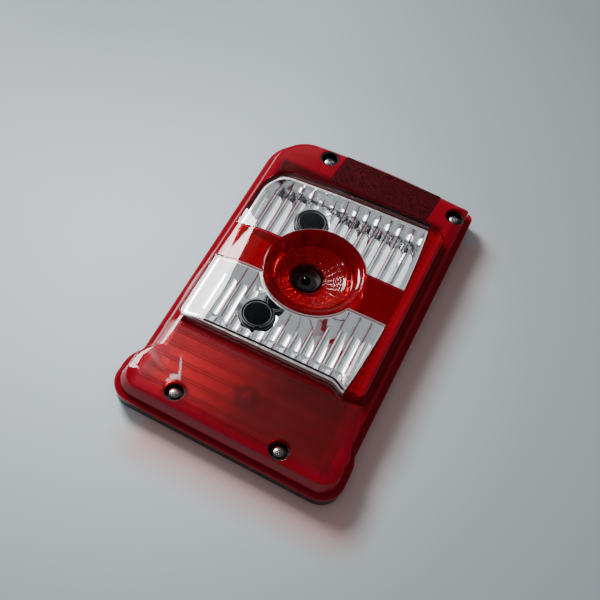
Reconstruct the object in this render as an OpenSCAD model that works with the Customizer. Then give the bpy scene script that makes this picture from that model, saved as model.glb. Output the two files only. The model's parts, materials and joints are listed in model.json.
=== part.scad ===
// Tail light cluster: a red outer lens with a raised clear window, a bullseye ring and
// four screw wells, on a black rear housing with fluted reflectors and bulbs inside.
// The lamp lies on its back: +Z points out of the lens, +Y to the end with the retro panel.
// The origin is at the middle of the outline, in the plane that the back gasket rests on.

/* [Outline] */
// Overall width, across the flared foot
foot_w = 211.5; // [205:0.5:225]
// Overall length
lamp_l = 337; // [325:1:360]
// Length of the flared foot at its left side
foot_l = 58; // [50:1:66]
// Step from the body's left side out to the foot
flare_l = 8.25; // [5:0.25:10]
// Step from the body's right side out to the foot
flare_r = 3.25; // [2:0.25:6]
// How much further the near edge lies at its right end
near_drop = 7; // [3:0.5:9]
// Fall of the far edge from its crown to its right end
far_rise = 5; // [3:0.5:8]
// Radius of the foot's corners
foot_r = 20; // [14:1:24]
// Radius of the far left corner
far_left_r = 38; // [28:1:44]
// Radius of the far right corner
far_right_r = 7; // [5:0.5:12]

/* [Heights] */
// Height of the housing's lower edge, with the gasket pressed down
skirt_z = 0.8; // [0.5:0.1:1.5]
// Height of the housing's top edge, which the lens rim sits on
seat_z = 11.5; // [11:0.5:13]
// Thickness of the lens rim
rim_t = 3; // [2:0.25:4]
// Height of the lens surface outside the window
lens_z = 29; // [28.5:0.5:32]
// Height of the raised window
window_z = 36; // [35:0.5:39]

/* [Lens] */
// Wall thickness of the lens
lens_t = 2.6; // [2:0.1:3]
// Width of the flat rim around the lens
rim_w = 4.5; // [4:0.25:6]
// Width of the moat beside the window
moat_w = 4; // [3:0.25:5]
// Extra width of the moat at the window's right side
moat_extra = 1.6; // [0:0.2:2.4]
// Depth of the moat below the lens surface
moat_d = 4.5; // [3:0.25:5]
// Gap along the seam of a clear pane
seam = 0.3; // [0.2:0.05:0.4]

/* [Window] */
// Distance from the body's left side to the window
window_in_l = 11; // [9:0.5:14]
// Distance from the body's right side to the window
window_in_r = 14; // [13:0.5:17]
// Distance from the lamp's far end to the window
window_in_far = 50.5; // [48:0.5:58]
// Distance from the lamp's near end to the window
window_in_near = 95; // [92:0.5:100]
// Extra reach of the window below the prism strip
window_dip = 6; // [2:0.5:7]
// Radius of the window's far left corner
window_r = 26; // [16:1:30]

/* [Ring] */
// Height of the ring's centre above the middle of the lamp
ring_y = 17; // [10:0.5:24]
// Outer radius of the red ring
ring_r = 46; // [42:0.5:48]
// Inner radius of the red ring
ring_bore = 34; // [31:0.5:35]
// Depth of the ring's dish below the window
ring_dish = 8; // [6:0.25:9]
// Half of the width of the red band across the window
band_h = 20.5; // [17:0.5:23]
// Number of steps in the bullseye bowl
bowl_steps = 5; // [3:1:6]
// Number of radial flutes in the bullseye bowl
bowl_flutes = 24; // [16:2:28]
// Radius of the open floor of the bullseye bowl
bowl_floor_r = 13; // [12:0.5:15]
// Lean of the bowl's steps to the left, in mm for each mm of depth
bowl_lean = 0.36; // [0:0.02:0.4]

/* [Prism strip and panel] */
// Width of the prism strip at its middle
strip_w = 11; // [9:0.5:12]
// Distance between the strip's prisms
prism_pitch = 9; // [7:0.5:12]
// Width of the retro panel
panel_w = 97; // [85:1:100]
// Length of the retro panel
panel_l = 34; // [28:1:36]
// Thickness of the retro panel
panel_t = 1.6; // [1.4:0.1:2]

/* [Screws] */
// Radius of a screw well
well_r = 9; // [8:0.25:9.5]
// Height of a well's floor
well_z = 20.4; // [18:0.2:21]
// Radius of a screw's head
head_r = 4.4; // [3.5:0.1:5]
// Height of a screw's head
head_h = 2.6; // [2:0.1:3]
// Radius of a screw's shank
shank_r = 2.1; // [1.75:0.05:2.5]

/* [Reflectors] */
// Distance between the flutes
flute_pitch = 11; // [9:0.25:12]
// Radius of a flute
flute_r = 9.5; // [8:0.25:11]
// Radius of a flute of the tray in the foot
tail_flute_r = 18; // [12:0.5:24]
// Distance between the flutes of the tray in the foot
tail_pitch = 13; // [11:0.5:16]
// Thickness of the reflector's floor
floor_t = 2.2; // [1.8:0.1:2.6]
// Slope of the end walls that the flutes run up
end_slope = 52; // [40:1:60]
// Radius of the round bowl behind each bulb cap
bowl_r = 50; // [44:1:60]

/* [Bulbs] */
// Distance from the ring's centre to the bulb above it
reach_upper = 59.5; // [56:0.5:62]
// Distance from the ring's centre to the bulb below it
reach_lower = 54; // [52:0.5:58]
// Radius of a bulb's glass
glass_r = 4.2; // [3.5:0.1:4.5]
// Height of a bulb's tip
tip_z = 17.5; // [17:0.25:18]
// Radius of a bulb cap
cap_r = 15; // [13:0.5:16]
// Radius of the holes for the bulb holders
holder_r = 9; // [8:0.25:9.5]

/* [Back] */
// Wall thickness of the housing
wall = 2.5; // [2:0.1:3]
// Thickness of the foam gasket
gasket_t = 3; // [2.5:0.25:4]
// Width of the foam gasket
gasket_w = 7; // [5:0.5:8]
// Distance from the foot's sides to the mounting inserts
mount_in_x = 35.75; // [33:0.25:42]
// Distance from the lamp's ends to the mounting inserts
mount_in_y = 68.5; // [66:0.5:74]
// Radius of the threaded hole of a mounting insert
insert_hole_r = 2.5; // [2:0.05:3]
// Width of the connector socket
socket_w = 34; // [30:0.5:40]
// Number of connector pins
pin_count = 5; // [3:1:6]

/* [Hidden] */
$fn = 64;

// Straight sides and edges of the outline
half_w = foot_w / 2;
edge_l = flare_l - half_w;
edge_r = half_w - flare_r;
edge_far = lamp_l / 2;
edge_near_r = -lamp_l / 2;
edge_near_l = edge_near_r + near_drop;
foot_y = edge_near_l + foot_l;
neck_r = 30;
crown = 0.5;

// Heights that follow from the driving ones
rim_z = seat_z + rim_t;
floor_z = 8.5;
deck_z = floor_z + wall;
moat_z = lens_z - moat_d;
tray_z = deck_z + floor_t;
glass_z = window_z - lens_t;
shelf_z = glass_z - 6.4;
valley_z = tray_z + 3.4;
eps = 0.01;
gap = 0.3;

// Levels of the lens shoulders: [bottom, top, left, right, far, near], the last four as insets
shoulder_z = 18.5;
shoulder_in = 17;
ledge = 0.2;
shoulder = [
    [seat_z, shoulder_z, rim_w, rim_w, rim_w, rim_w],
    [lens_z - 3.2 - ledge, lens_z - 3.2, rim_w + 4.5, rim_w + 1.5, rim_w + 1, rim_w + 3.5],
    [lens_z - ledge, lens_z, shoulder_in, shoulder_in - 3, rim_w + 4.5, shoulder_in]
];

// Window outline
win_l = edge_l + window_in_l;
win_r = edge_r - window_in_r;
win_far = edge_far - window_in_far;
win_near = edge_near_r + window_in_near;
win_length = win_far - win_near;
strip_x = win_r - strip_w;
strip_arc_r = 800;

// Screw wells, two at the far end and two in the foot: [x, y, how far a sleeve stays below the lens]
wells = [
    [edge_l + 54.5, edge_far - 21.5, 0.6],
    [edge_r - 15, edge_far - 25.5, 3.6],
    [edge_l + 45.5, edge_near_l + 19.5, 2.8],
    [edge_r - 56, edge_near_r + 19.5, 3.2]
];
tube_t = 1.8;
sleeve_t = 1;
washer_t = 1.2;
boss_r = 5.5;

// Small holes through the bullseye bowl
peg_holes = [[5.3, ring_y + 27.5], [5.4, ring_y - 27.5]];

// Bulbs: above and below the ring, behind its bowl, and in the foot
bulb_x = edge_l + 69.5;
bulb_tail_x = 0;
bulb_tail_y = edge_near_l + 50;
bulbs = [
    [bulb_x, ring_y + reach_upper],
    [bulb_x, ring_y - reach_lower],
    [-6.5, ring_y + 2],
    [bulb_tail_x, bulb_tail_y]
];
flange_r = holder_r + 3.5;
flange_t = 2;
seal_t = 1.2;
cap_z = tip_z - 1.5;
tube_top = tip_z - 3;

// Mounting inserts
mount_x = foot_w - 2 * mount_in_x;
mount_y = lamp_l - 2 * mount_in_y;

// Retro panel, socket and vent at the far end
panel_x = 18;
panel_far = edge_far - rim_w - 6.5;
panel_y = panel_far - panel_l / 2;
panel_sink = panel_t - 0.2;
socket_l = 16;
socket_x = panel_x;
socket_y = panel_y;
vent_x = socket_x + socket_w / 2 + 14;
vent_y = socket_y;
vent_r = 5;

function unit(v) = v / norm(v);

// Points of the arc that rounds corner b between a and c
function corner_arc(a, b, c, r, n = 8) =
    let (u = unit(a - b), v = unit(c - b), half = acos(min(1, max(-1, u * v))) / 2)
    let (centre = b + unit(u + v) * r / sin(half))
    let (p = b + u * r / tan(half) - centre, q = b + v * r / tan(half) - centre)
    let (from = atan2(p.y, p.x), turn = atan2(p.x * q.y - p.y * q.x, p * q))
    [for (i = [0:n]) centre + r * [cos(from + turn * i / n), sin(from + turn * i / n)]];

// Outline through corners [x, y, r], each rounded with its own radius
function rounded(corners, n = 8) =
    let (m = len(corners))
    [for (i = [0:m - 1])
        let (a = corners[(i + m - 1) % m], b = corners[i], c = corners[(i + 1) % m])
        for (p = b[2] > 0
            ? corner_arc([a.x, a.y], [b.x, b.y], [c.x, c.y], b[2], n)
            : [[b.x, b.y]]) p];

// Body outline, inset by l, r and f at its left, right and far sides
function body_outline(l, r, f) = rounded([
    [edge_l + l, edge_near_l + foot_l / 2, 0],
    [edge_r - r, edge_near_l + foot_l / 2, 0],
    [edge_r - r, edge_far - far_rise - f, max(2, far_right_r - f)],
    [10, edge_far + crown - f, 600],
    [edge_l + l, edge_far - far_rise - 2 - f, far_left_r - f]
]);

// Foot outline, inset by l, r and k at its left, right and near sides
function foot_outline(l, r, k) = rounded([
    [-half_w + l, edge_near_l + k, foot_r - k * 0.6],
    [half_w - r, edge_near_r + k, foot_r - k * 0.6],
    [half_w - r, foot_y, neck_r - r * 0.6],
    [-half_w + l, foot_y, neck_r - l * 0.6]
]);

module slab(from, to) {
    translate([0, 0, from]) linear_extrude(to - from) children();
}

// Whole outline, inset by i, with the necks of the foot blended
module plan(i = 0) {
    offset(r = -8 - i, $fn = 32) offset(r = 8, $fn = 32) {
        polygon(body_outline(0, 0, 0));
        polygon(foot_outline(0, 0, 0));
    }
}

module band_ring(outer, inner) {
    difference() {
        plan(outer);
        plan(inner);
    }
}

// Solid under the lens surface, without the window; t sets it back for the inner surface
module dome(t = 0) {
    hull() {
        for (s = shoulder) {
            slab(s[0] - (s[0] > seat_z ? t : 0), s[1] - t)
                polygon(body_outline(s[2] + t, s[3] + t, s[4] + t));
        }
    }
    hull() {
        for (s = shoulder) {
            slab(s[0] - (s[0] > seat_z ? t : 0), s[1] - t)
                polygon(foot_outline(s[2] + t, s[3] + t, s[5] + t));
        }
    }
}

module window_plan() {
    polygon(rounded([
        [win_l, win_near, 6],
        [strip_x - 18, win_near, 14],
        [strip_x - 8, win_near - window_dip, 8],
        [win_r, win_near - window_dip, 8],
        [win_r, win_far, 18],
        [win_l + 70, win_far - 4, 120],
        [win_l, win_far - 10, window_r]
    ]));
}

// Section of the raised window across the lamp: it rolls down at the left
module window_section(t, from) {
    polygon(rounded([
        [win_l - 6, from, 0],
        [win_l - 6, lens_z - 5 - t, 0],
        [win_l + 24, window_z - 2.2 - t, 60],
        [win_l + 75, window_z - t, 200],
        [win_r - t, window_z - t, 2],
        [win_r - t, from, 0]
    ], 12));
}

// Solid under the raised window from a height up; t sets it back for the inner surface
module window_block(t = 0, from = seat_z) {
    intersection() {
        slab(from, window_z + 1) offset(r = -t, $fn = 32) window_plan();
        translate([0, win_far + 20, 0])
            rotate([90, 0, 0]) linear_extrude(win_length + 60) window_section(t, from);
        translate([win_l - 10, 0, 0]) rotate([90, 0, 90]) linear_extrude(win_r - win_l + 20)
            polygon(rounded([
                [win_near - window_dip + t, from, 0],
                [win_far - t, from, 0],
                [win_far - t, window_z - t, 2],
                [win_near - window_dip + t, window_z - t, 2]
            ]));
    }
}

module moat_plan(t = 0) {
    intersection() {
        difference() {
            offset(r = t, $fn = 32) union() {
                offset(r = moat_w, $fn = 32) window_plan();
                translate([moat_extra, 0]) offset(r = moat_w, $fn = 32) window_plan();
            }
            offset(r = -t, $fn = 32) window_plan();
        }
        translate([win_l + 7 - t, -lamp_l]) square([foot_w, 2 * lamp_l]);
    }
}

module ring_disc(r) {
    translate([0, ring_y]) circle(r);
}

// Areas of the two clear panes, grown by g along their seams
module pane_area(side, g = 0) {
    difference() {
        intersection() {
            offset(delta = g) window_plan();
            translate([-foot_w, side > 0 ? ring_y + band_h - g : ring_y - band_h + g - lamp_l])
                square([2 * foot_w, lamp_l]);
            translate([strip_x - strip_arc_r, ring_y]) circle(strip_arc_r + g, $fn = 360);
        }
        ring_disc(ring_r + seam - g);
    }
}

module pane(side) {
    color([0.92, 0.94, 0.95, 0.5]) intersection() {
        difference() {
            window_block();
            window_block(lens_t);
        }
        slab(moat_z - lens_t, window_z + 1) pane_area(side);
    }
}

// Dished section of the red ring, from its outer edge down to the ledge for the bowl
module ring_section() {
    ledge_z = window_z - ring_dish - lens_t;
    polygon([
        [ring_bore, ledge_z],
        [ring_bore + 4, ledge_z],
        [ring_r - 3, glass_z - 2],
        [ring_r, glass_z - 1],
        [ring_r, window_z],
        [ring_r - 0.8, window_z + 0.7],
        [ring_r - 2.4, window_z + 0.7],
        for (a = [0:15:75]) [
            ring_r - 3 - (ring_r - 3 - ring_bore - 1) * sin(a),
            window_z - ring_dish + 0.8 + (ring_dish - 0.6) * (cos(a))
        ],
        [ring_bore, window_z - ring_dish]
    ]);
}

module ring() {
    translate([0, ring_y, 0]) rotate_extrude($fn = 96) ring_section();
}

module well_tubes() {
    intersection() {
        dome();
        for (w = wells) {
            translate([w.x, w.y, well_z - lens_t]) cylinder(h = lens_z - well_z + lens_t, r = well_r + tube_t);
        }
    }
}

module panel_plan(i = 0) {
    lean_x = 3;
    offset(r = 2 - i, $fn = 24) offset(r = -2) polygon([
        [panel_x - panel_w / 2 - lean_x / 2, panel_y - panel_l / 2],
        [panel_x + panel_w / 2 - lean_x / 2, panel_y - panel_l / 2],
        [panel_x + panel_w / 2 + lean_x / 2, panel_y + panel_l / 2],
        [panel_x - panel_w / 2 + lean_x / 2, panel_y + panel_l / 2]
    ]);
}

module red_lens() {
    color([0.62, 0.02, 0.04]) difference() {
        union() {
            slab(seat_z, rim_z) band_ring(0, rim_w + lens_t);
            difference() {
                union() {
                    difference() {
                        dome();
                        slab(moat_z, lens_z + 1) moat_plan();
                    }
                    window_block();
                }
                difference() {
                    union() {
                        dome(lens_t);
                        slab(seat_z - 1, seat_z + eps) plan(rim_w + lens_t);
                    }
                    slab(moat_z - lens_t, lens_z) moat_plan(lens_t);
                }
                window_block(lens_t);
                slab(seat_z - 1, window_z + 2) ring_disc(ring_r - 0.5);
                slab(seat_z - 1, window_z + 2) pane_area(1, seam);
                slab(seat_z - 1, window_z + 2) pane_area(-1, seam);
            }
            ring();
            well_tubes();
        }
        for (w = wells) {
            translate([w.x, w.y, well_z]) cylinder(h = lens_z, r = well_r);
            translate([w.x, w.y, 0]) cylinder(h = lens_z, r = shank_r + gap);
        }
        slab(lens_z - panel_sink, lens_z + 1) panel_plan(-gap);
    }
}

module window_upper() {
    pane(1);
}

module window_lower() {
    pane(-1);
}

// Stepped red bowl whose steps lean to the left; its flange seats under the ring's ledge
module bullseye_optic() {
    top_z = window_z - ring_dish - lens_t;
    skin = 1.8;
    floor_top = tube_top + gap + skin;
    rim_r = ring_bore - 2;
    drop = (top_z - floor_top) / bowl_steps;
    slope = 90 - atan2(top_z - floor_top, rim_r - bowl_floor_r);
    function step_r(k) = rim_r - (rim_r - bowl_floor_r) * k / bowl_steps;
    function step_at(k) = [
        1.5 - bowl_lean * (window_z - top_z + k * drop),
        ring_y + 2 * k / bowl_steps
    ];
    color([0.7, 0.03, 0.05]) difference() {
        union() {
            translate([0, ring_y, top_z - 2]) cylinder(h = 2, r = ring_bore + 3.5);
            for (k = [0:bowl_steps - 1]) {
                translate([step_at(k).x, step_at(k).y, top_z - (k + 1) * drop - skin])
                    cylinder(h = drop + skin, r = step_r(k) + skin * 0.6);
            }
        }
        for (k = [0:bowl_steps - 1]) {
            translate([step_at(k).x, step_at(k).y, top_z - (k + 1) * drop])
                cylinder(h = (k + 1) * drop + eps, r1 = step_r(k + 1) + 1, r2 = step_r(k) + k * 1.2);
        }
        for (k = [0:bowl_flutes - 1]) {
            translate([step_at(1).x, step_at(1).y, floor_top + 2.2]) rotate([0, 0, 360 * k / bowl_flutes])
                translate([bowl_floor_r + 2.6, 0, 0])
                    rotate([0, slope, 0]) cylinder(h = rim_r - bowl_floor_r - 4, r = 1.3, $fn = 24);
        }
        translate([step_at(bowl_steps).x, step_at(bowl_steps).y, 0]) cylinder(h = top_z, r = bowl_floor_r - 1);
        for (p = peg_holes) {
            translate([p.x, p.y, 0]) cylinder(h = window_z, r = 1.1, $fn = 24);
        }
    }
}

module retro_panel() {
    color([0.28, 0.01, 0.03]) slab(lens_z - panel_sink, lens_z - panel_sink + panel_t) panel_plan();
}

// Space above the reflector's shelf for the prism strip
module strip_area(i = 0) {
    difference() {
        offset(delta = -lens_t - 1.2 - i) window_plan();
        translate([strip_x - strip_arc_r, ring_y]) circle(strip_arc_r + 1 + i, $fn = 360);
    }
}

module prism_strip() {
    top_z = glass_z - 0.8;
    length = win_length + window_dip;
    color([0.75, 0.05, 0.06]) difference() {
        slab(shelf_z, top_z) strip_area(0.4);
        for (k = [0:floor(length / prism_pitch)]) {
            translate([strip_x - 8, win_near - window_dip + k * prism_pitch, top_z + 0.6])
                rotate([45, 0, 0]) cube([strip_w + 16, 1.8, 1.8]);
        }
    }
}

// Section across flutes of a radius, with its origin at the height of their centres
module flute_section(from, count, r, pitch) {
    side = 0.75 * r;
    for (k = [0:count]) {
        translate([from + k * pitch, 0]) circle(r);
    }
    translate([from - side, -r / 2]) square([count * pitch + 2 * side, r / 2 + 30]);
}

// Half of a bent trough, on the near side of the mitre plane
module trough_half(reach, from, count) {
    intersection() {
        translate([0, 10, 0]) rotate([90, 0, 0]) linear_extrude(reach + 10)
            flute_section(from, count, flute_r, flute_pitch);
        rotate([end_slope / 2, 0, 0]) translate([-foot_w, -lamp_l, -lamp_l]) cube([2 * foot_w, lamp_l, 2 * lamp_l]);
    }
}

// Fluted trough along the lamp that turns up the sloping end wall
module trough(reach, from, count) {
    trough_half(reach, from, count);
    rotate([end_slope, 0, 0]) mirror([0, 1, 0]) trough_half(30, from, count);
}

// Fluted hollow of one chamber of the reflector
module chamber(side) {
    from = ring_y + side * (band_h - 2);
    to = side > 0 ? win_far - 21 : win_near + 14;
    first = win_l + (side > 0 ? 8.5 : 13);
    count = floor((strip_x - first - 4) / flute_pitch);
    k = side > 0 ? 0 : 1;
    intersection() {
        slab(tray_z, window_z + 1) offset(delta = -2) intersection() {
            offset(delta = -lens_t - 0.8) window_plan();
            pane_area(side);
        }
        union() {
            translate([0, to, valley_z + flute_r]) mirror([0, side > 0 ? 0 : 1, 0])
                trough(abs(to - from), first, count);
            at_bulb(k) translate([0, 0, tray_z + 0.4 + bowl_r]) sphere(bowl_r, $fn = 96);
        }
    }
}

module reflector() {
    recess_z = window_z - ring_dish - lens_t - 2 - gap;
    funnel_h = 40;
    color([0.85, 0.86, 0.88]) difference() {
        window_block(lens_t + 0.8, deck_z);
        chamber(1);
        chamber(-1);
        translate([0, ring_y, tray_z]) cylinder(h = funnel_h, r1 = ring_bore - 2, r2 = ring_r + 6);
        slab(recess_z, window_z) ring_disc(ring_r + gap);
        slab(shelf_z, window_z) strip_area();
        slab(glass_z - 5.2, window_z) difference() {
            offset(delta = 1) window_plan();
            offset(delta = -lens_t - 4.9) window_plan();
        }
        slab(glass_z - 8, window_z) translate([win_l, ring_y - band_h + 2])
            square([win_r - win_l - 4, 2 * band_h - 4]);
        for (k = [0, 1]) {
            at_bulb(k) translate([0, 0, cap_z + 0.2]) cylinder(h = 4.4, r = cap_r + gap);
        }
        for (k = [0:2]) {
            at_bulb(k) cylinder(h = tip_z, r = holder_r + 2.5);
        }
    }
}

// Area of the tray under the lower red zone
module tail_area(i = 0) {
    difference() {
        intersection() {
            plan(13 + i);
            translate([-foot_w, edge_near_r]) square([2 * foot_w, win_near - window_dip - 8 - i - edge_near_r]);
        }
        for (w = wells) {
            translate([w.x, w.y]) circle(well_r + tube_t + 0.6 + i);
        }
    }
}

module tail_reflector() {
    wall_h = 7;
    first = edge_near_r + 16;
    count = floor((win_near - window_dip - first - 8) / tail_pitch);
    color([0.82, 0.82, 0.84]) difference() {
        slab(deck_z, tray_z + wall_h) tail_area();
        intersection() {
            slab(tray_z, tray_z + wall_h + 1) tail_area(2);
            translate([-foot_w / 2, 0, tray_z + 0.4 + tail_flute_r]) rotate([90, 0, 90])
                linear_extrude(foot_w) flute_section(first, count, tail_flute_r, tail_pitch);
        }
        at_bulb(3) cylinder(h = lens_z, r = holder_r + 2.5);
    }
}

module at_bulb(k) {
    translate([bulbs[k].x, bulbs[k].y, 0]) children();
}

// Capless bulb: a flat wedge below a round glass with a domed tip
module bulb(k) {
    wedge_z = skirt_z + 3.2;
    color([0.9, 0.92, 0.93, 0.6]) at_bulb(k) {
        translate([-glass_r * 0.85, -1.1, wedge_z]) cube([glass_r * 1.7, 2.2, 6]);
        translate([0, 0, wedge_z + 5]) cylinder(h = tip_z - glass_r - wedge_z - 5, r = glass_r);
        intersection() {
            translate([0, 0, tip_z - glass_r]) sphere(glass_r);
            translate([0, 0, tip_z - glass_r]) cylinder(h = glass_r, r = glass_r);
        }
    }
}

// Twist-in holder: flange and grip behind the housing, barrel and lugs in front
module holder(k) {
    flange_z = floor_z - seal_t - flange_t;
    color([0.12, 0.12, 0.13]) at_bulb(k) difference() {
        union() {
            translate([0, 0, flange_z]) cylinder(h = flange_t, r = flange_r);
            translate([0, 0, flange_z]) cylinder(h = deck_z + 1.5 - flange_z, r = holder_r - gap);
            translate([0, 0, skirt_z + 0.4]) cylinder(h = flange_z - skirt_z - 0.4, r = 6);
            translate([-flange_r + 1.5, -1.6, skirt_z + 0.4])
                cube([2 * flange_r - 3, 3.2, flange_z - skirt_z - 0.4]);
            for (a = [0, 120, 240]) {
                rotate([0, 0, a]) translate([0, -2, deck_z]) cube([holder_r + 1.6, 4, 1.5]);
            }
        }
        translate([-glass_r * 0.85 - gap, -1.1 - gap, skirt_z + 3.2])
            cube([glass_r * 1.7 + 2 * gap, 2.2 + 2 * gap, 7]);
        translate([0, 0, skirt_z + 8]) cylinder(h = 10, r = glass_r + gap);
    }
}

// Round cap that grips the bulb's tip, with a raised rim and a notch for its key
module bulb_cap(k) {
    low = cap_z - 2;
    bottom = cap_z + 0.5;
    color([0.05, 0.05, 0.06]) at_bulb(k) difference() {
        rotate_extrude() polygon([
            [glass_r + gap, low],
            [glass_r + 2, low],
            [glass_r + 2, bottom],
            [cap_r - 0.8, bottom],
            [cap_r, bottom + 0.8],
            [cap_r, bottom + 2],
            [cap_r - 0.6, bottom + 2.6],
            [cap_r - 2, bottom + 2.6],
            [cap_r - 2.5, bottom + 2],
            [cap_r - 5, bottom + 2.3],
            [cap_r - 5.6, bottom + 3.2],
            [0, bottom + 3.8],
            [0, tip_z + gap],
            [glass_r * 0.6, tip_z + gap],
            [glass_r + gap, tip_z - 1.5]
        ]);
        rotate([0, 0, -65]) translate([cap_r - 2.6, -1.6, 0]) cube([6, 3.2, window_z]);
    }
}

module bulb_upper() {
    bulb(0);
}

module bulb_lower() {
    bulb(1);
}

module bulb_centre() {
    bulb(2);
}

module bulb_tail() {
    bulb(3);
}

module holder_upper() {
    holder(0);
}

module holder_lower() {
    holder(1);
}

module holder_centre() {
    holder(2);
}

module holder_tail() {
    holder(3);
}

module cap_upper() {
    bulb_cap(0);
}

module cap_lower() {
    bulb_cap(1);
}

// Black tube round the centre bulb, which makes the bullseye's middle dark
module shade_tube() {
    color([0.05, 0.05, 0.06]) at_bulb(2) difference() {
        translate([0, 0, tray_z]) cylinder(h = tube_top - tray_z, r = bowl_floor_r + 1.6);
        translate([0, 0, deck_z]) cylinder(h = tip_z, r = holder_r + 2.5);
    }
}

module holder_seals() {
    color([0.08, 0.08, 0.08]) for (b = bulbs) {
        translate([b.x, b.y, floor_z - seal_t]) difference() {
            cylinder(h = seal_t, r = flange_r - 0.4);
            translate([0, 0, -1]) cylinder(h = seal_t + 2, r = holder_r);
        }
    }
}

module back_gasket() {
    color([0.16, 0.16, 0.17]) slab(0, gasket_t) band_ring(3.5, 3.5 + gasket_w);
}

module lens_seal() {
    color([0.1, 0.1, 0.1]) slab(seat_z - 2.5, seat_z) band_ring(3.2, 5.8);
}

module mounting_inserts() {
    color([0.78, 0.62, 0.3]) for (x = [-1, 1], y = [-1, 1]) {
        translate([x * mount_x / 2, y * mount_y / 2, 0]) difference() {
            union() {
                translate([0, 0, skirt_z]) cylinder(h = 1, r = 6);
                translate([0, 0, skirt_z]) cylinder(h = 8.2, r = 4.2);
            }
            translate([0, 0, -1]) cylinder(h = 12, r = insert_hole_r);
        }
    }
}

module housing() {
    groove_w = gasket_w + 0.4;
    land_w = gasket_w + 6;
    color([0.1, 0.09, 0.09]) difference() {
        union() {
            slab(skirt_z, seat_z) band_ring(1.5, 1.5 + wall);
            slab(seat_z - 4, seat_z) band_ring(1.5, 7.5);
            slab(skirt_z, gasket_t + 2) band_ring(1.5, land_w);
            slab(skirt_z, deck_z) band_ring(land_w - wall, land_w);
            slab(floor_z, deck_z) plan(land_w - 0.5);
            for (w = wells) {
                translate([w.x, w.y, skirt_z]) cylinder(h = well_z - lens_t - skirt_z, r = boss_r);
            }
            for (x = [-1, 1], y = [-1, 1]) {
                translate([x * mount_x / 2, y * mount_y / 2, skirt_z]) cylinder(h = deck_z - skirt_z, r = 8);
            }
            back_ribs();
        }
        slab(skirt_z - 1, gasket_t) band_ring(3.3, 3.3 + groove_w);
        slab(seat_z - 2.5, seat_z + 1) band_ring(3, 6);
        for (w = wells) {
            translate([w.x, w.y, skirt_z + 2]) cylinder(h = lens_z, r = shank_r + gap);
        }
        for (x = [-1, 1], y = [-1, 1]) {
            translate([x * mount_x / 2, y * mount_y / 2, 0]) {
                cylinder(h = skirt_z + 1, r = 6 + gap);
                cylinder(h = skirt_z + 8.2, r = 4.2 + gap);
            }
        }
        for (b = bulbs) {
            translate([b.x, b.y, 0]) cylinder(h = 20, r = holder_r);
        }
        translate([socket_x - socket_w / 2 - gap, socket_y - socket_l / 2 - gap, 0])
            cube([socket_w + 2 * gap, socket_l + 2 * gap, 20]);
        translate([vent_x, vent_y, 0]) cylinder(h = 20, r = 4);
    }
}

// Stiffening ribs behind the floor, from the gasket channel in to the middle
module back_ribs() {
    rib_t = 1.8;
    slab(floor_z - 4, floor_z + 1) intersection() {
        plan(10);
        union() {
            for (y = [edge_near_l + 26.5, ring_y - 77, ring_y + 43, socket_y - 25.5]) {
                translate([edge_l, y]) square([34, rib_t]);
                translate([edge_r - 44, y]) square([44, rib_t]);
            }
        }
    }
}

// Flat strip from a to b along X or Y
module strip_run(a, b) {
    w = 5;
    translate([min(a.x, b.x) - w / 2, min(a.y, b.y) - w / 2, floor_z - 0.8])
        cube([abs(a.x - b.x) + w, abs(a.y - b.y) + w, 0.8]);
}

module contact_strip_ground() {
    bus_x = 24;
    reach = flange_r + gap + 2.5;
    color([0.8, 0.66, 0.35]) {
        strip_run([bus_x, bulb_tail_y], [bus_x, socket_y - socket_l / 2 - gap - 2.5]);
        for (b = bulbs) {
            strip_run([b.x + reach, b.y], [bus_x, b.y]);
        }
    }
}

module contact_strip_feed() {
    bus_x = bulb_x - flange_r - 6;
    reach = flange_r + gap + 2.5;
    top_y = socket_y - socket_l / 2 - 9;
    color([0.8, 0.66, 0.35]) {
        strip_run([bus_x, bulb_tail_y], [bus_x, top_y]);
        strip_run([bus_x, top_y], [socket_x - 10, top_y]);
        strip_run([socket_x - 10, top_y], [socket_x - 10, socket_y - socket_l / 2 - gap - 2.5]);
        for (b = bulbs) {
            strip_run([bus_x, b.y], [b.x - reach, b.y]);
        }
    }
}

module connector_socket() {
    base_z = deck_z - 0.5;
    color([0.13, 0.13, 0.14]) translate([socket_x, socket_y, 0]) difference() {
        union() {
            translate([-socket_w / 2, -socket_l / 2, skirt_z])
                cube([socket_w, socket_l, deck_z + 2 - skirt_z]);
            translate([-socket_w / 2 - 3, -socket_l / 2 - 3, deck_z])
                cube([socket_w + 6, socket_l + 6, 2]);
        }
        translate([-socket_w / 2 + 2, -socket_l / 2 + 2, skirt_z - 1])
            cube([socket_w - 4, socket_l - 4, base_z - skirt_z + 1]);
        for (k = [0:pin_count - 1]) {
            translate([pin_x(k), 0, 0]) cylinder(h = 30, r = 0.8 + gap / 2, $fn = 24);
        }
    }
}

function pin_x(k) = (k - (pin_count - 1) / 2) * (socket_w - 8) / pin_count;

module connector_pins() {
    color([0.85, 0.75, 0.45]) for (k = [0:pin_count - 1]) {
        translate([socket_x + pin_x(k), socket_y, skirt_z + 1.5]) cylinder(h = deck_z + 3, r = 0.8, $fn = 24);
    }
}

// Pan-head screws with a cross recess, down in the wells
module lens_screws() {
    head_z = well_z + sleeve_t + washer_t;
    tip = floor_z - 0.5;
    color([0.75, 0.76, 0.78]) for (w = wells) {
        translate([w.x, w.y, 0]) difference() {
            union() {
                translate([0, 0, tip]) cylinder(h = head_z + 0.5 - tip, r = shank_r);
                intersection() {
                    translate([0, 0, head_z]) cylinder(h = head_h, r = head_r);
                    translate([0, 0, head_z + head_h - 2.2 * head_r]) sphere(2.2 * head_r);
                }
            }
            for (a = [20, 110]) {
                translate([0, 0, head_z + head_h - 1.6]) rotate([0, 0, a])
                    translate([-head_r * 0.6, -0.5, 0]) cube([head_r * 1.2, 1, 4]);
            }
        }
    }
}

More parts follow.
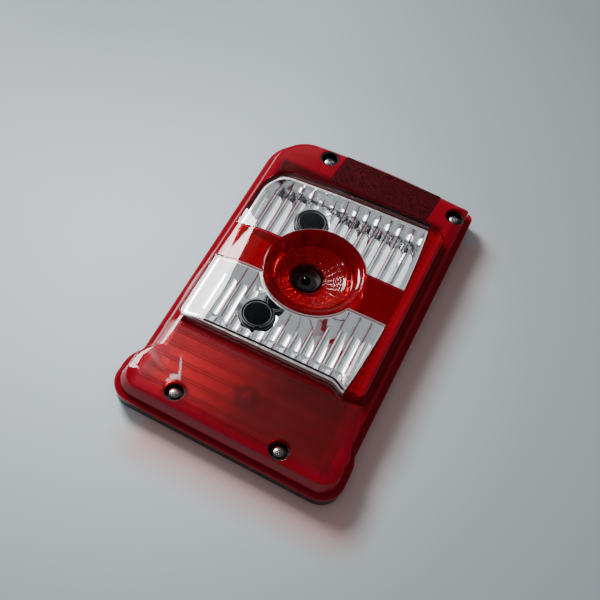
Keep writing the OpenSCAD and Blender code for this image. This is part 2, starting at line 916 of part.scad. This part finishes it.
module screw_washers() {
    color([0.07, 0.07, 0.07]) for (w = wells) {
        translate([w.x, w.y, well_z + sleeve_t]) difference() {
            cylinder(h = washer_t, r = head_r + 1.8);
            translate([0, 0, -1]) cylinder(h = washer_t + 2, r = shank_r + gap);
        }
    }
}

// Black cups that line the wells; a screw holds each one down by its floor
module well_sleeves() {
    color([0.06, 0.05, 0.05]) for (w = wells) {
        translate([w.x, w.y, well_z]) difference() {
            cylinder(h = lens_z - w.z - well_z, r = well_r - gap);
            translate([0, 0, sleeve_t]) cylinder(h = lens_z, r = well_r - gap - sleeve_t);
            translate([0, 0, -1]) cylinder(h = sleeve_t + 2, r = shank_r + gap);
        }
    }
}

// Mushroom vent: a cap behind the floor, a stem through it and a lip in front
module breather_vent() {
    color([0.09, 0.09, 0.1]) translate([vent_x, vent_y, 0]) {
        translate([0, 0, floor_z - 3]) cylinder(h = 3, r = vent_r + 1.5);
        translate([0, 0, floor_z - 1]) cylinder(h = wall + 2, r = 4 - gap);
        translate([0, 0, deck_z]) cylinder(h = 1.2, r = vent_r);
    }
}

housing();
back_gasket();
lens_seal();
red_lens();
window_upper();
window_lower();
bullseye_optic();
retro_panel();
prism_strip();
reflector();
tail_reflector();
bulb_upper();
bulb_lower();
bulb_centre();
bulb_tail();
holder_upper();
holder_lower();
holder_centre();
holder_tail();
cap_upper();
cap_lower();
shade_tube();
holder_seals();
contact_strip_ground();
contact_strip_feed();
connector_socket();
connector_pins();
lens_screws();
screw_washers();
well_sleeves();
mounting_inserts();
breather_vent();
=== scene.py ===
"""Looks of the tail light cluster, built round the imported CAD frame. Metres, same frame as the CAD."""

import json
import math

import bmesh
import bpy
from mathutils import Matrix, Vector


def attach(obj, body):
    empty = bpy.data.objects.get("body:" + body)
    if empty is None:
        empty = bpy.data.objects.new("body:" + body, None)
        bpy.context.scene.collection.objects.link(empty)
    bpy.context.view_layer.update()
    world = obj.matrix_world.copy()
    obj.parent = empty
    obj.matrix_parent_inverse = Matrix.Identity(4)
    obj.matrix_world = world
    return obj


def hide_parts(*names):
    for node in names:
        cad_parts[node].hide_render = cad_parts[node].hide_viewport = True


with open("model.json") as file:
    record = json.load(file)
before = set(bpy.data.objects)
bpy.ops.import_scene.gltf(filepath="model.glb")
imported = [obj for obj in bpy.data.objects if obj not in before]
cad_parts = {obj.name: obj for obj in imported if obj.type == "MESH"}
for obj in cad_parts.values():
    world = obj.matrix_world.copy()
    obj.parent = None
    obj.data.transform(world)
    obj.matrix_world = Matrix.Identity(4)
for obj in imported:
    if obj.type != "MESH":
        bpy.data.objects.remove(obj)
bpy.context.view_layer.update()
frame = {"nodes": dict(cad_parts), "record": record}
slots = {s["node"]: s["material_slot"] for s in frame["record"]["subparts"]}
scene = bpy.context.scene
MM = 0.001

# The photograph's camera: the lamp's turn and height seen, its roll in degrees, and its distance
CAMERA_AZIMUTH, CAMERA_HEIGHT, CAMERA_ROLL = 15.81, 56.37, 11.32
CAMERA_AIM = (-4.94 * MM, 6.37 * MM, 0)
CAMERA_DISTANCE = 1.01775
FOCAL_PIXELS = 1131.33
PHOTO_PIXELS = 600
SENSOR_MM = 36
FLOOR_SIZE = 8
# Smooth copies: vertices closer than this are one, and edges flatter than this angle are smooth
WELD_DISTANCE = 2e-6
SMOOTH_ANGLE = 34

# Strength of the room for diffuse light, in the outer mirror images and in what the chrome mirrors
WORLD_DIFFUSE = 0.34
WORLD_MIRRORED = 0.07
WORLD_CHROME = 0.60
# Bright and dark patches of what the chrome mirrors: direction, inner and outer angle, strength
CHROME_PATCHES = [
    ((-0.66, 0.53, 0.53), 30, 35, 1.3),
    ((0.62, 0.55, 0.56), 8, 14, 0.7),
    ((0.36, 0.53, 0.77), 5, 11, -0.40),
    ((-0.10, 0.93, 0.35), 10, 18, 1.4),
]
# Centres of the two round bulb caps
CAPS = [(-0.028, 0.0765, 0.0), (-0.028, -0.037, 0.0)]
# Clear core and ruled tail zone of the red lens, as X and Y ranges, and the first rule and pitch of its lines
CORE_X, CORE_Y = (-0.078, 0.078), (-0.140, 0.122)
TAIL_X, TAIL_Y = (-0.084, 0.088), (-0.150, -0.086)
RULE_START, RULE_PITCH = -0.0930, 0.0128
ZONE_EDGE = 0.006
# Share of each pitch where the two lines of a rule lie, and their width
RULE_LINES = [(0.10, 0.035), (0.30, 0.025)]
# Flanks of the flutes painted dark red as a painted reflection of the lens: X of the normal, low and high,
# soft edges
FLANK_LOW, FLANK_HIGH = (0.50, 0.53), (0.60, 0.62)
# Painted highlight lines on the rims of a bulb cap: radius and width
CAP_RIMS = [(0.0144, 0.0006), (0.0122, 0.0004)]
# Middle of the bullseye bowl's open floor, round which the lowest step is painted near black as shade
BOWL_FLOOR = (-0.0065, 0.019, 0.0)
# What the outside of the lens mirrors: a faint patch in its far left corner, two lamps over the foot
LENS_PATCHES = [
    ((-0.36, 0.72, 0.60), 7, 17, 0.38),
    ((-0.2285, 0.4429, 0.8670), 0.22, 0.42, 24.0),
    ((-0.2311, 0.4308, 0.8724), 0.32, 0.60, 24.0),
]


def set_camera():
    """Camera of the photograph, fitted to the lamp's outline, ring and screw wells."""
    az, el, roll = (math.radians(a) for a in (CAMERA_AZIMUTH, CAMERA_HEIGHT, CAMERA_ROLL))
    back = Vector((math.sin(az) * math.cos(el), -math.cos(az) * math.cos(el), math.sin(el)))
    right = Vector((0, 0, 1)).cross(back).normalized()
    up = back.cross(right)
    r2 = right * math.cos(roll) + up * math.sin(roll)
    u2 = -right * math.sin(roll) + up * math.cos(roll)
    place = Vector(CAMERA_AIM) + back * CAMERA_DISTANCE
    data = bpy.data.cameras.new("camera")
    data.sensor_width = SENSOR_MM
    data.lens = FOCAL_PIXELS / PHOTO_PIXELS * SENSOR_MM
    data.clip_start = 0.01
    cam = bpy.data.objects.new("camera", data)
    cam.matrix_world = Matrix((
        (r2.x, u2.x, back.x, place.x),
        (r2.y, u2.y, back.y, place.y),
        (r2.z, u2.z, back.z, place.z),
        (0, 0, 0, 1),
    ))
    scene.collection.objects.link(cam)
    scene.camera = cam


def set_world():
    """Pale room for diffuse light, darker where the lens mirrors it. What the chrome behind the
    windows mirrors is brighter to the left, where the softbox stands, and grey to the right."""
    world = bpy.data.worlds.new("world")
    scene.world = world
    world.use_nodes = True
    nt = world.node_tree

    def node(kind, **props):
        n = nt.nodes.new("ShaderNode" + kind)
        for k, v in props.items():
            setattr(n, k, v)
        return n

    def math_node(op, a, b):
        n = node("Math", operation=op)
        for i, v in enumerate((a, b)):
            if isinstance(v, bpy.types.NodeSocket):
                nt.links.new(v, n.inputs[i])
            else:
                n.inputs[i].default_value = v
        return n.outputs[0]

    def patch(direction, inner, outer, strength):
        """Soft-edged bright patch of the room, seen in a direction."""
        aim = Vector(direction).normalized()
        dot = node("VectorMath", operation="DOT_PRODUCT")
        nt.links.new(coord.outputs["Generated"], dot.inputs[0])
        dot.inputs[1].default_value = aim
        ramp = node("MapRange", interpolation_type="SMOOTHSTEP")
        nt.links.new(dot.outputs["Value"], ramp.inputs["Value"])
        ramp.inputs["From Min"].default_value = math.cos(math.radians(outer))
        ramp.inputs["From Max"].default_value = math.cos(math.radians(inner))
        ramp.inputs["To Max"].default_value = strength
        return ramp.outputs[0]

    bg = nt.nodes["Background"]
    bg.inputs["Color"].default_value = (0.80, 0.85, 0.88, 1)
    path = node("LightPath")
    coord = node("TexCoord")
    mirrored = WORLD_MIRRORED - WORLD_DIFFUSE
    for spot in LENS_PATCHES:
        mirrored = math_node("ADD", patch(*spot), mirrored)
    glossy = math_node("MULTIPLY", path.outputs["Is Glossy Ray"], mirrored)
    base = math_node("ADD", glossy, WORLD_DIFFUSE)
    room = WORLD_CHROME
    for spot in CHROME_PATCHES:
        room = math_node("ADD", patch(*spot), room)
    extra = math_node("SUBTRACT", room, base)
    # Only rays that came in and left again through the plastic, not those mirrored inside a pane
    deep = math_node("GREATER_THAN", path.outputs["Transmission Depth"], 2.5)
    through = math_node("MULTIPLY", extra, math_node("MULTIPLY", deep, path.outputs["Is Transmission Ray"]))
    nt.links.new(math_node("ADD", base, through), bg.inputs["Strength"])


def area_light(name, place, aim, size, power, color):
    """Softbox that faces a point."""
    data = bpy.data.lights.new(name, "AREA")
    data.shape = "RECTANGLE"
    data.size, data.size_y = size
    data.energy = power
    data.color = color
    obj = bpy.data.objects.new(name, data)
    obj.location = place
    obj.rotation_euler = (Vector(place) - Vector(aim)).to_track_quat("Z", "Y").to_euler()
    scene.collection.objects.link(obj)


class Tree:
    """A material's nodes, with sockets set by name."""

    def __init__(self, name):
        self.mat = bpy.data.materials.new(name)
        self.mat.use_nodes = True
        self.nt = self.mat.node_tree
        self.nt.nodes.clear()

    def add(self, kind, props=None, **inputs):
        n = self.nt.nodes.new("ShaderNode" + kind)
        for k, v in (props or {}).items():
            setattr(n, k, v)
        for k, v in inputs.items():
            self.set(n, k.replace("_", " "), v)
        return n

    def set(self, n, name, value):
        socket = n.inputs[int(name)] if name.isdigit() else n.inputs[name]
        if isinstance(value, bpy.types.NodeSocket):
            self.nt.links.new(value, socket)
        else:
            socket.default_value = value

    def coords(self):
        return self.add("TexCoord").outputs["Object"]

    def math(self, op, a, b=0.0, clamp=False):
        n = self.add("Math", {"operation": op, "use_clamp": clamp})
        self.set(n, "0", a)
        self.set(n, "1", b)
        return n.outputs[0]

    def mix(self, fac, a, b):
        n = self.add("Mix", {"data_type": "RGBA"})
        self.set(n, "0", fac)
        self.set(n, "6", a)
        self.set(n, "7", b)
        return n.outputs[2]

    def times(self, fac, a, b):
        n = self.add("Mix", {"data_type": "RGBA", "blend_type": "MULTIPLY"})
        self.set(n, "0", fac)
        self.set(n, "6", a)
        self.set(n, "7", b)
        return n.outputs[2]

    def noise(self, scale, detail=3.0, rough=0.5, vector=None):
        n = self.add("TexNoise", Scale=scale, Detail=detail, Roughness=rough)
        self.set(n, "Vector", vector if vector is not None else self.coords())
        return n.outputs["Fac"]

    def ramp(self, fac, low, high, a=0.0, b=1.0):
        n = self.add("MapRange", {"clamp": True})
        for k, v in (("Value", fac), ("From Min", low), ("From Max", high), ("To Min", a), ("To Max", b)):
            self.set(n, k, v)
        return n.outputs[0]

    def bump(self, height, distance, strength=1.0, normal=None):
        n = self.add("Bump", Strength=strength, Distance=distance, Height=height)
        if normal is not None:
            self.set(n, "Normal", normal)
        return n.outputs[0]

    def away(self, centre):
        """Distance from an upright axis through a point."""
        flat = self.add("VectorMath", {"operation": "MULTIPLY"})
        self.set(flat, "0", self.coords())
        self.set(flat, "1", (1.0, 1.0, 0.0))
        n = self.add("VectorMath", {"operation": "DISTANCE"})
        self.set(n, "0", flat.outputs[0])
        self.set(n, "1", centre)
        return n.outputs["Value"]

    def bevel(self, radius, samples=4):
        n = self.add("Bevel", {"samples": samples}, Radius=radius)
        return n.outputs[0]

    def out(self, shader):
        n = self.add("OutputMaterial")
        self.nt.links.new(shader, n.inputs["Surface"])
        return self.mat

    def see_through(self, shader, color):
        """shader for what is looked at, and a tinted clear path for the light that comes through."""
        path = self.add("LightPath")
        fac = self.math("MAXIMUM", path.outputs["Is Shadow Ray"], path.outputs["Is Diffuse Ray"])
        clear = self.add("BsdfTransparent")
        self.set(clear, "Color", color if isinstance(color, bpy.types.NodeSocket) else (*color, 1))
        m = self.add("MixShader")
        self.set(m, "0", fac)
        self.set(m, "1", shader)
        self.set(m, "2", clear.outputs[0])
        return m.outputs[0]

    def inside(self, axis, low, high, soft):
        """1 where a coordinate lies between two values, falling to 0 over a soft edge."""
        c = self.add("SeparateXYZ")
        self.set(c, "Vector", self.coords())
        v = c.outputs[axis]
        return self.math("MULTIPLY", self.ramp(v, low - soft, low), self.ramp(v, high, high + soft, 1.0, 0.0))

    def lines(self, axis, start, pitch, at, width):
        """1 on thin lines across an axis, at a share of each pitch."""
        c = self.add("SeparateXYZ")
        self.set(c, "Vector", self.coords())
        turn = self.math("DIVIDE", self.math("SUBTRACT", c.outputs[axis], start), pitch)
        part = self.math("ABSOLUTE", self.math("SUBTRACT", self.math("FRACT", turn), at))
        return self.ramp(part, width * 0.5, width, 1.0, 0.0)


def red_acrylic():
    """Translucent red: clear over the trays, cloudier at the edges and finely ruled over the lower zone,
    where painted shade darkens it towards the right and the near edge.
    """
    t = Tree("red_acrylic")
    dust = t.noise(90, 6, 0.6)
    tail = t.math("MULTIPLY", t.inside("Y", *TAIL_Y, ZONE_EDGE), t.inside("X", *TAIL_X, ZONE_EDGE))
    core = t.math("MULTIPLY", t.inside("X", *CORE_X, ZONE_EDGE), t.inside("Y", *CORE_Y, ZONE_EDGE))
    place = t.add("SeparateXYZ")
    t.set(place, "Vector", t.coords())
    # Painted shade: the tail zone's colour grows darker towards the right and the near edge, away from the
    # light.
    sweep = t.math("ADD", place.outputs["X"], t.math("MULTIPLY", place.outputs["Y"], -0.6))
    sweep = t.math("ADD", sweep, t.math("MULTIPLY", t.noise(14, 2), 0.03))
    shade = t.ramp(sweep, 0.0, 0.105)
    rules = t.math("MAXIMUM", *(t.lines("Y", RULE_START, RULE_PITCH, *line) for line in RULE_LINES))
    deep = t.math("MAXIMUM", t.math("MULTIPLY", shade, 0.86), t.math("MULTIPLY", rules, 0.92))
    dark = t.math("MULTIPLY", tail, deep)
    color = t.mix(t.ramp(t.noise(9, 2), 0.35, 0.7), (0.52, 0.006, 0.034, 1), (0.44, 0.005, 0.028, 1))
    edge = t.mix(0.5, color, (0.86, 0.020, 0.040, 1))
    color = t.mix(core, edge, color)
    color = t.mix(tail, color, (0.95, 0.022, 0.075, 1))
    # The tail's painted shade and its ruled lines darken the colour here.
    color = t.mix(dark, color, (0.20, 0.001, 0.004, 1))
    normal = t.bump(t.noise(400, 2), 0.00001, 0.25, t.bevel(0.0008))
    haze = t.math("ADD", t.ramp(dust, 0.35, 0.75, 0.02, 0.07), t.math("MULTIPLY", tail, 0.26))
    p = t.add("BsdfPrincipled", Base_Color=color, IOR=1.49, Roughness=haze, Normal=normal)
    cloud = t.math("SUBTRACT", 0.40, t.math("MULTIPLY", core, 0.32))
    cloud = t.math("ADD", cloud, t.math("MULTIPLY", tail, 0.05))
    t.set(p, "Transmission Weight", t.math("SUBTRACT", 1.0, cloud))
    shine = t.math("ADD", 0.17, t.math("MULTIPLY", core, 0.33))
    t.set(p, "Specular IOR Level", t.math("SUBTRACT", shine, t.math("MULTIPLY", tail, 0.42), True))
    t.set(p, "Coat Weight", t.math("MULTIPLY", tail, 0.6))
    t.set(p, "Coat Roughness", 0.03)
    shadow = t.mix(core, (0.05, 0.002, 0.002, 1), (0.92, 0.12, 0.12, 1))
    return t.out(t.see_through(p.outputs[0], shadow))


def bright_red():
    """Red of the bullseye bowl, which stands over the chrome, with its lowest step painted near black as
    shade.
    """
    t = Tree("bright_red")
    dust = t.noise(90, 6, 0.6)
    color = t.mix(t.ramp(t.noise(30, 2), 0.35, 0.7), (0.68, 0.028, 0.055, 1), (0.60, 0.018, 0.045, 1))
    # Painted shade: the lowest step round the open floor is coloured near black.
    color = t.mix(t.ramp(t.away(BOWL_FLOOR), 0.0145, 0.0175, 1.0, 0.0), color, (0.03, 0.001, 0.003, 1))
    normal = t.bump(t.noise(400, 2), 0.00001, 0.25, t.bevel(0.0005))
    p = t.add("BsdfPrincipled", Base_Color=color, IOR=1.49, Roughness=t.ramp(dust, 0.35, 0.75, 0.02, 0.08),
              Normal=normal)
    t.set(p, "Transmission Weight", 0.90)
    return t.out(t.see_through(p.outputs[0], (0.92, 0.12, 0.12)))


def prism_red():
    """Red of the prism strip, painted bright with lighter orange patches as painted glints, and with the grid
    of its small prisms.
    """
    t = Tree("prism_red")
    grid = t.math("MAXIMUM", t.lines("Y", 0.0, 0.0075, 0.5, 0.10), t.lines("X", 0.0, 0.0038, 0.5, 0.14))
    # Painted glints: random lighter orange patches on the strip's red.
    glint_patches = t.ramp(t.noise(60, 2), 0.35, 0.65)
    color = t.mix(glint_patches, (0.95, 0.10, 0.13, 1), (0.98, 0.26, 0.24, 1))
    color = t.mix(grid, color, (0.30, 0.006, 0.012, 1))
    p = t.add("BsdfPrincipled", Base_Color=color, IOR=1.49, Roughness=0.08, Normal=t.bump(grid, 0.0002, 0.5))
    t.set(p, "Transmission Weight", 0.35)
    return t.out(t.see_through(p.outputs[0], (0.92, 0.12, 0.12)))


def clear_acrylic():
    """Clear plastic of the window panes, with a little dust."""
    t = Tree("clear_acrylic")
    dust = t.noise(120, 6, 0.6)
    normal = t.bump(t.noise(300, 2), 0.00001, 0.2, t.bevel(0.0008))
    p = t.add("BsdfPrincipled", Base_Color=(0.99, 0.99, 0.99, 1), IOR=1.49,
              Roughness=t.ramp(dust, 0.4, 0.8, 0.0, 0.06), Normal=normal)
    t.set(p, "Transmission Weight", 1.0)
    return t.out(t.see_through(p.outputs[0], (0.97, 0.97, 0.97)))


def chromed_plastic():
    """Bright chrome with a slow waviness; the steep flanks of the flutes are painted dark red as a painted
    reflection of the red lens.
    """
    t = Tree("chromed_plastic")
    haze = t.noise(60, 5, 0.6)
    stretch = t.add("Mapping", Scale=(1.0, 0.35, 1.0))
    t.set(stretch, "Vector", t.coords())
    wave = t.bump(t.noise(70, 2, 0.5, stretch.outputs[0]), 0.0009, 0.5)
    geo = t.add("NewGeometry")
    n = t.add("SeparateXYZ")
    t.set(n, "Vector", geo.outputs["True Normal"])
    high = t.ramp(n.outputs["X"], FLANK_HIGH[1], FLANK_HIGH[0], 0.0, 1.0)
    painted_flank_reflection = t.math("MULTIPLY", t.ramp(n.outputs["X"], *FLANK_LOW), high)
    # Painted reflection: steep flanks, picked out by their normal, are coloured the lens's dark red.
    color = t.mix(painted_flank_reflection, (0.88, 0.89, 0.90, 1), (0.42, 0.012, 0.03, 1))
    p = t.add("BsdfPrincipled", Base_Color=color, Metallic=1.0,
              Roughness=t.ramp(haze, 0.3, 0.7, 0.03, 0.11), Normal=wave)
    return t.out(p.outputs[0])


def plastic(name, base, rough, grain=900, depth=0.00003, specular=0.5, shade_above=None):
    """Moulded plastic with wear, painted nearly black above a height as shade where no light reaches it."""
    t = Tree(name)
    wear = t.ramp(t.noise(55, 5, 0.65), 0.45, 0.75)
    lighter = tuple(min(1, c * 1.7 + 0.01) for c in base)
    normal = t.bump(t.noise(grain, 3), depth, 0.5, t.bevel(0.0005))
    color = t.mix(wear, (*base, 1), (*lighter, 1))
    if shade_above is not None:
        # Painted shade: the colour goes nearly black above the given height.
        color = t.mix(t.inside("Z", shade_above, 1.0, 0.002), color, (0.002, 0.002, 0.002, 1))
    p = t.add("BsdfPrincipled", Base_Color=color,
              Roughness=t.ramp(wear, 0, 1, rough, min(1, rough + 0.18)), Normal=normal)
    t.set(p, "Specular IOR Level", specular)
    return t.out(p.outputs[0])


def cap_black():
    """Glossy black cap with painted highlight lines along its moulded rims."""
    t = Tree("cap_black")
    rim_highlight = None
    for centre in CAPS:
        away = t.away(centre)
        for radius, width in CAP_RIMS:
            off = t.math("ABSOLUTE", t.math("SUBTRACT", away, radius))
            line = t.ramp(off, width * 0.4, width, 1.0, 0.0)
            rim_highlight = line if rim_highlight is None else t.math("MAXIMUM", rim_highlight, line)
    broken_highlight = t.math("MULTIPLY", rim_highlight, t.ramp(t.noise(70, 3), 0.35, 0.6, 0.15, 0.8))
    # Painted highlight: patchy light lines on the cap rims.
    color = t.mix(broken_highlight, (0.0015, 0.0015, 0.002, 1), (0.42, 0.43, 0.44, 1))
    p = t.add("BsdfPrincipled", Base_Color=color, Roughness=0.07, Normal=t.bevel(0.0005))
    t.set(p, "Specular IOR Level", 0.03)
    return t.out(p.outputs[0])


def retro_red():
    """Dark red plate with the fine pebbled grain of its retro prisms."""
    t = Tree("retro_red")
    v = t.add("TexVoronoi", {"feature": "F1"}, Scale=850.0)
    t.set(v, "Vector", t.coords())
    cells = v.outputs["Distance"]
    color = t.mix(t.ramp(cells, 0.15, 0.65), (0.150, 0.0035, 0.011, 1), (0.018, 0.0005, 0.002, 1))
    p = t.add("BsdfPrincipled", Base_Color=color, Roughness=0.30, Normal=t.bump(cells, 0.0003, 0.6))
    t.set(p, "Specular IOR Level", 0.22)
    return t.out(p.outputs[0])


def metal(name, base, rough):
    """Metal with fine scratches and slightly darker spots."""
    t = Tree(name)
    scratch = t.noise(700, 4, 0.7)
    darker = tuple(c * 0.75 for c in base)
    color = t.mix(t.ramp(t.noise(150), 0.4, 0.7), (*base, 1), (*darker, 1))
    p = t.add("BsdfPrincipled", Base_Color=color,
              Metallic=1.0, Roughness=t.ramp(scratch, 0.3, 0.7, rough, rough + 0.15),
              Normal=t.bump(scratch, 0.00004, 0.4, t.bevel(0.0003)))
    return t.out(p.outputs[0])


def bulb_glass(name="bulb_glass", tint=(0.98, 0.98, 0.97, 1), clear=1.0):
    """Slightly wavy glass, tinted or pearly where a bulb asks for it."""
    t = Tree(name)
    normal = t.bump(t.noise(200), 0.00002, 0.3)
    p = t.add("BsdfPrincipled", Base_Color=tint, IOR=1.45, Roughness=0.02, Normal=normal)
    t.set(p, "Transmission Weight", clear)
    return t.out(t.see_through(p.outputs[0], (0.95, 0.95, 0.95)))


def floor_paper():
    """Pale paper with painted light: a lighter pool where the softbox shines on it, brighter still to the
    lamp's left, a darker far left corner, and a painted red glow round the lamp's footprint.
    """
    t = Tree("floor_paper")
    # Painted light: a pool that falls off away from its middle.
    light = t.ramp(t.away((-0.03, -0.08, 0.0)), 0.0, 0.60, 1.0, 0.0)
    paper = t.mix(light, (0.335, 0.385, 0.40, 1), (0.665, 0.755, 0.80, 1))
    paper = t.mix(t.ramp(t.noise(1.3, 2), 0.3, 0.7, 0.0, 0.06), paper, (0.40, 0.45, 0.47, 1))
    # Painted light: brighter still to the lamp's left.
    near = t.ramp(t.away((-0.12, -0.05, 0.0)), 0.08, 0.34, 1.0, 0.0)
    paper = t.times(near, paper, (1.42, 1.42, 1.46, 1))
    # Painted shade: darker towards the far left corner.
    corner = t.ramp(t.away((-0.43, 0.25, 0.0)), 0.0, 0.30, 1.0, 0.0)
    paper = t.times(corner, paper, (0.64, 0.66, 0.67, 1))
    # Painted red glow: a warm, darker tint round the lamp's footprint for red light and shadow thrown from
    # the lens.
    edge = t.math("MULTIPLY", t.inside("X", -0.060, 0.116, 0.030), t.inside("Y", -0.182, 0.135, 0.030))
    paper = t.times(edge, paper, (1.12, 0.62, 0.55, 1))
    p = t.add("BsdfPrincipled", Base_Color=paper, Roughness=0.6, Normal=t.bump(t.noise(500, 4), 0.0001, 0.25))
    return t.out(p.outputs[0])


MATERIALS = {
    "housing_black": plastic("housing_black", (0.035, 0.028, 0.026), 0.38),
    "foam_gasket": plastic("foam_gasket", (0.03, 0.03, 0.032), 0.85, 1500, 0.0003),
    "seal_rubber": plastic("seal_rubber", (0.015, 0.015, 0.015), 0.55),
    "red_acrylic": red_acrylic(),
    "clear_acrylic": clear_acrylic(),
    "bullseye_red": bright_red(),
    "retro_red": retro_red(),
    "chromed_plastic": chromed_plastic(),
    "bulb_glass": bulb_glass(),
    "holder_plastic": plastic("holder_plastic", (0.040, 0.040, 0.043), 0.6, specular=0.1,
                              shade_above=0.013),
    "cap_black": cap_black(),
    "contact_brass": metal("contact_brass", (0.72, 0.55, 0.25), 0.28),
    "socket_plastic": plastic("socket_plastic", (0.04, 0.04, 0.043), 0.42),
    "screw_steel": metal("screw_steel", (0.82, 0.82, 0.83), 0.2),
    "sleeve_black": plastic("sleeve_black", (0.012, 0.008, 0.008), 0.5),
}
# Pieces with a look of their own: the prism strip painted bright with painted glints, the centre bulb tinted
# near black as painted shade, and the pearly tail bulb
OWN_LOOK = {
    "prism_strip": prism_red(),
    # Painted shade: the centre bulb's glass is tinted near black so the bowl's open floor shows dark.
    "bulb_centre": bulb_glass("shaded_bulb", (0.03, 0.02, 0.03, 1)),
    "bulb_tail": bulb_glass("pearl_bulb", (0.90, 0.90, 0.90, 1), 0.15),
}


def smooth_copy(node):
    """The CAD piece with its seams welded and its curved walls shaded smoothly."""
    src = frame["nodes"][node]
    bm = bmesh.new()
    bm.from_mesh(src.data)
    bm.transform(src.matrix_world)
    bmesh.ops.remove_doubles(bm, verts=bm.verts, dist=WELD_DISTANCE)
    limit = math.radians(SMOOTH_ANGLE)
    for e in bm.edges:
        e.smooth = len(e.link_faces) == 2 and e.calc_face_angle(0.0) < limit
    for f in bm.faces:
        f.smooth = True
    me = bpy.data.meshes.new(node + "_smooth")
    bm.to_mesh(me)
    bm.free()
    obj = bpy.data.objects.new(node + "_smooth", me)
    scene.collection.objects.link(obj)
    me.materials.append(OWN_LOOK.get(node, MATERIALS[slots[node]]))
    w = obj.modifiers.new("even", "WEIGHTED_NORMAL")
    w.keep_sharp = True
    w.weight = 60
    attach(obj, "root")
    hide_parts(node)


set_camera()

bpy.ops.mesh.primitive_plane_add(size=FLOOR_SIZE)
floor = bpy.context.object
floor.name = "floor"
floor.data.materials.append(floor_paper())

set_world()
area_light("key", (-0.95, 0.55, 0.85), (-0.05, 0.0, 0), (0.45, 0.45), 22, (1.0, 0.99, 0.97))

for name in slots:
    smooth_copy(name)
